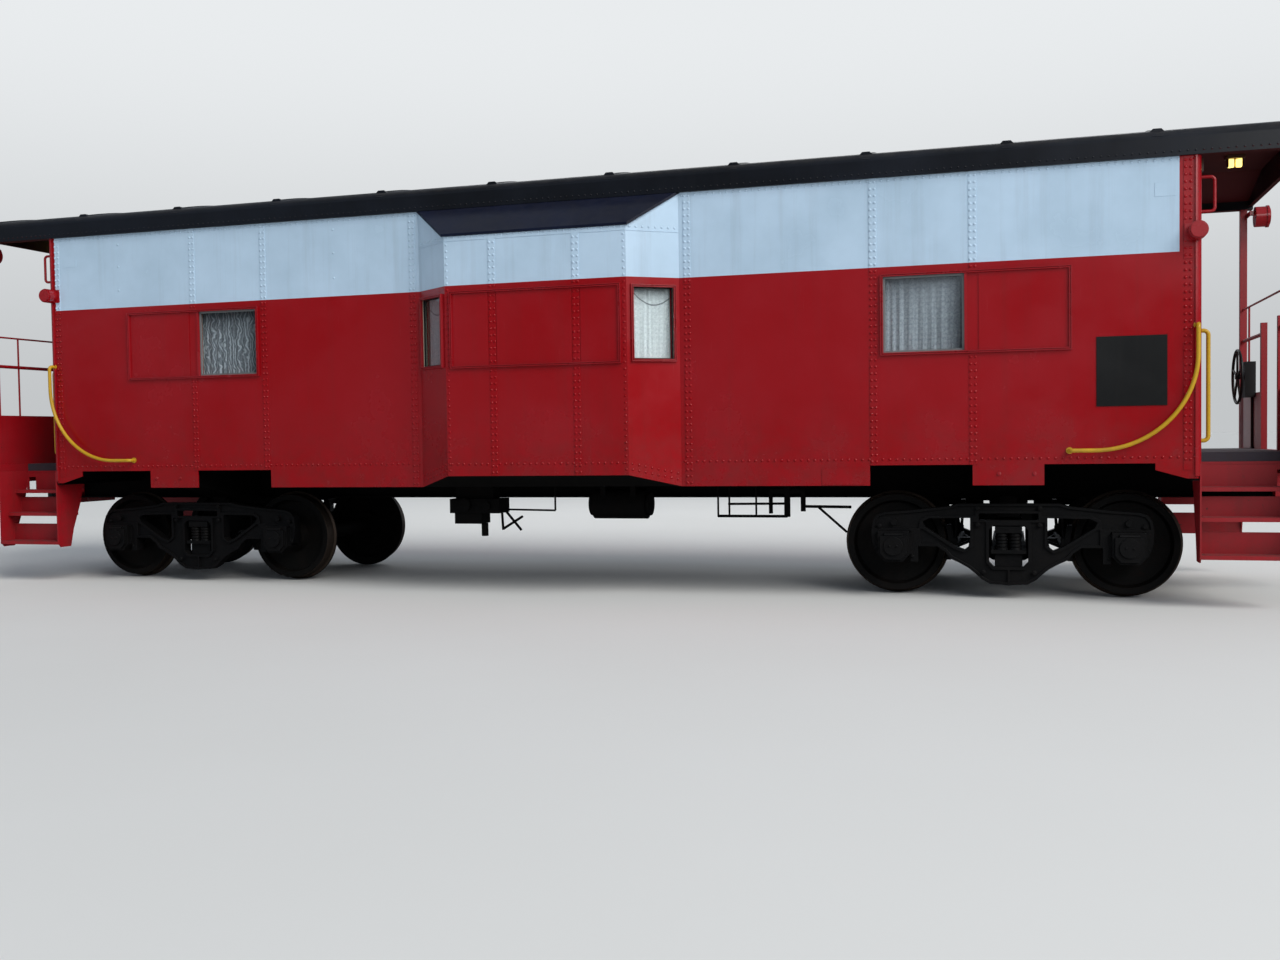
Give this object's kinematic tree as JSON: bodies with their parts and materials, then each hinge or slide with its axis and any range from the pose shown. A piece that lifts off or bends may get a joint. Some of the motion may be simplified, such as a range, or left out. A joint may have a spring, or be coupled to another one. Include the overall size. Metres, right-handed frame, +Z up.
{
  "type": "bay-window caboose",
  "caption": "Steel caboose with a bay window on each side, an arched roof over both end platforms, steps, curved handholds and two four-wheel trucks.",
  "frame": {"origin": "under the middle of the car, level with the lowest points of the wheel flanges", "axes": "+X along the car, +Z up, -Y the near side; the track gauge runs along Y"},
  "size_m": [13.244, 3.376, 3.8348],
  "materials": {
    "car_red": "worn",
    "trim_red": "worn",
    "roof_black": "satin",
    "underframe_black": "matt",
    "truck_black": "matt",
    "wheel_steel": "matt",
    "handhold_yellow": "satin",
    "plate_black": "satin",
    "window_glass": "clear",
    "curtain_cloth": "soft",
    "rod_steel": "worn",
    "step_steel": "worn",
    "lamp_glass": "frosted"
  },
  "bodies": {
    "car": {"bay_far": "car_red", "bay_near": "car_red", "bay_roofs": "roof_black", "body_bolsters": "underframe_black", "brake_cylinder": "underframe_black", "brake_rods": "underframe_black", "brake_valve": "underframe_black", "canopy_lights": "lamp_glass", "centre_sill": "underframe_black", "corner_lamps": "trim_red", "coupler_a": "truck_black", "coupler_b": "truck_black", "crossbearers": "underframe_black", "curtain_rods": "rod_steel", "curtains": "curtain_cloth", "end_sill_a": "car_red", "end_sill_b": "car_red", "end_wall_a": "car_red", "end_wall_b": "car_red", "floor": "underframe_black", "grab_irons": "handhold_yellow", "hand_brakes": "plate_black", "marker_lamps": "trim_red", "platform_a": "step_steel", "platform_b": "step_steel", "railing_a": "car_red", "railing_b": "car_red", "reservoir": "underframe_black", "roof": "roof_black", "roof_handholds": "trim_red", "side_far_a": "car_red", "side_far_b": "car_red", "side_near_a": "car_red", "side_near_b": "car_red", "sign_plates": "plate_black", "steps_a": "step_steel", "steps_b": "step_steel", "train_pipe": "underframe_black", "window_glass": "window_glass", "window_plates": "car_red", "window_trim": "trim_red"},
    "truck_a": {"side_frames_a": "truck_black", "journal_boxes_a": "truck_black", "truck_bolster_a": "truck_black", "springs_a": "truck_black", "brake_beams_a": "truck_black"},
    "truck_b": {"side_frames_b": "truck_black", "journal_boxes_b": "truck_black", "truck_bolster_b": "truck_black", "springs_b": "truck_black", "brake_beams_b": "truck_black"},
    "door_leaf_a": {"door_a": "trim_red", "door_glass_a": "window_glass"},
    "door_leaf_b": {"door_b": "trim_red", "door_glass_b": "window_glass"},
    "axle_1": {"wheelset_1": "wheel_steel"},
    "axle_2": {"wheelset_2": "wheel_steel"},
    "axle_3": {"wheelset_3": "wheel_steel"},
    "axle_4": {"wheelset_4": "wheel_steel"}
  },
  "joints": [
    {"name": "truck_a_swivel", "type": "hinge", "parent": "car", "child": "truck_a", "pos_m": [-3.9, 0, 0.665], "axis": [0, 0, 1], "range_deg": [-4, 4]},
    {"name": "truck_b_swivel", "type": "hinge", "parent": "car", "child": "truck_b", "pos_m": [3.9, 0, 0.665], "axis": [0, 0, 1], "range_deg": [-4, 4]},
    {"name": "door_a_swing", "type": "hinge", "parent": "car", "child": "door_leaf_a", "pos_m": [-5.22, 0.34, 2.1475], "axis": [0, 0, 1], "range_deg": [0, 100]},
    {"name": "door_b_swing", "type": "hinge", "parent": "car", "child": "door_leaf_b", "pos_m": [5.22, -0.34, 2.1475], "axis": [0, 0, 1], "range_deg": [0, 100]},
    {"name": "wheelset_1_roll", "type": "hinge", "parent": "truck_a", "child": "axle_1", "pos_m": [-4.825, 0, 0.4445], "axis": [0, 1, 0], "continuous": true},
    {"name": "wheelset_2_roll", "type": "hinge", "parent": "truck_a", "child": "axle_2", "pos_m": [-2.975, 0, 0.4445], "axis": [0, 1, 0], "continuous": true},
    {"name": "wheelset_3_roll", "type": "hinge", "parent": "truck_b", "child": "axle_3", "pos_m": [2.975, 0, 0.4445], "axis": [0, 1, 0], "continuous": true},
    {"name": "wheelset_4_roll", "type": "hinge", "parent": "truck_b", "child": "axle_4", "pos_m": [4.825, 0, 0.4445], "axis": [0, 1, 0], "continuous": true}
  ]
}
